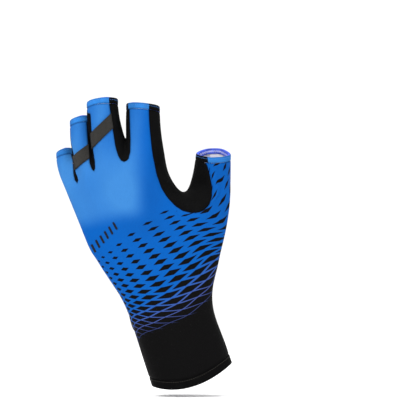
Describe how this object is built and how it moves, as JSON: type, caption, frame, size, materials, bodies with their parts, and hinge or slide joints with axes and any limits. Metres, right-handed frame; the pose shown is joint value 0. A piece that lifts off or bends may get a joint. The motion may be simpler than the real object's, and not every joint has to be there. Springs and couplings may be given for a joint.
{
  "type": "fingerless cycling glove",
  "caption": "Fingerless cycling glove with open half fingers, a long stretch cuff, a padded suede palm and a pull strap over the wrist.",
  "frame": {"origin": "centre of the cuff opening, where the wrist enters", "axes": "+Z towards the fingertips, +X towards the thumb, -Y out of the back of the hand"},
  "size_m": [0.1472, 0.0622, 0.2466],
  "materials": {
    "stretch_print": "smooth stretch knit, blue fading to black",
    "suede": "brushed grey suede",
    "stretch_black": "smooth black stretch knit",
    "hem": "turned and stitched knit",
    "grip_pad": "padded grey suede with matte black silicone print",
    "ribbon": "ribbed woven tape"
  },
  "bodies": {
    "root": {"back_panel": "stretch_print", "palm_panel": "suede", "cuff_underside": "stretch_black", "cuff_hem": "stretch_black", "index_thumb_band": "stretch_black", "gusset_ring_pinky": "stretch_black", "gusset_middle_ring": "stretch_black", "gusset_index_middle": "stretch_black", "hem_thumb": "hem", "hem_pinky": "hem", "hem_ring": "hem", "hem_middle": "hem", "hem_index": "hem", "grip_pad_upper": "grip_pad", "grip_pad_heel": "grip_pad", "grip_pad_thumb": "grip_pad", "pull_ribbon_ring": "ribbon", "pull_ribbon_middle": "ribbon"}
  },
  "joints": []
}
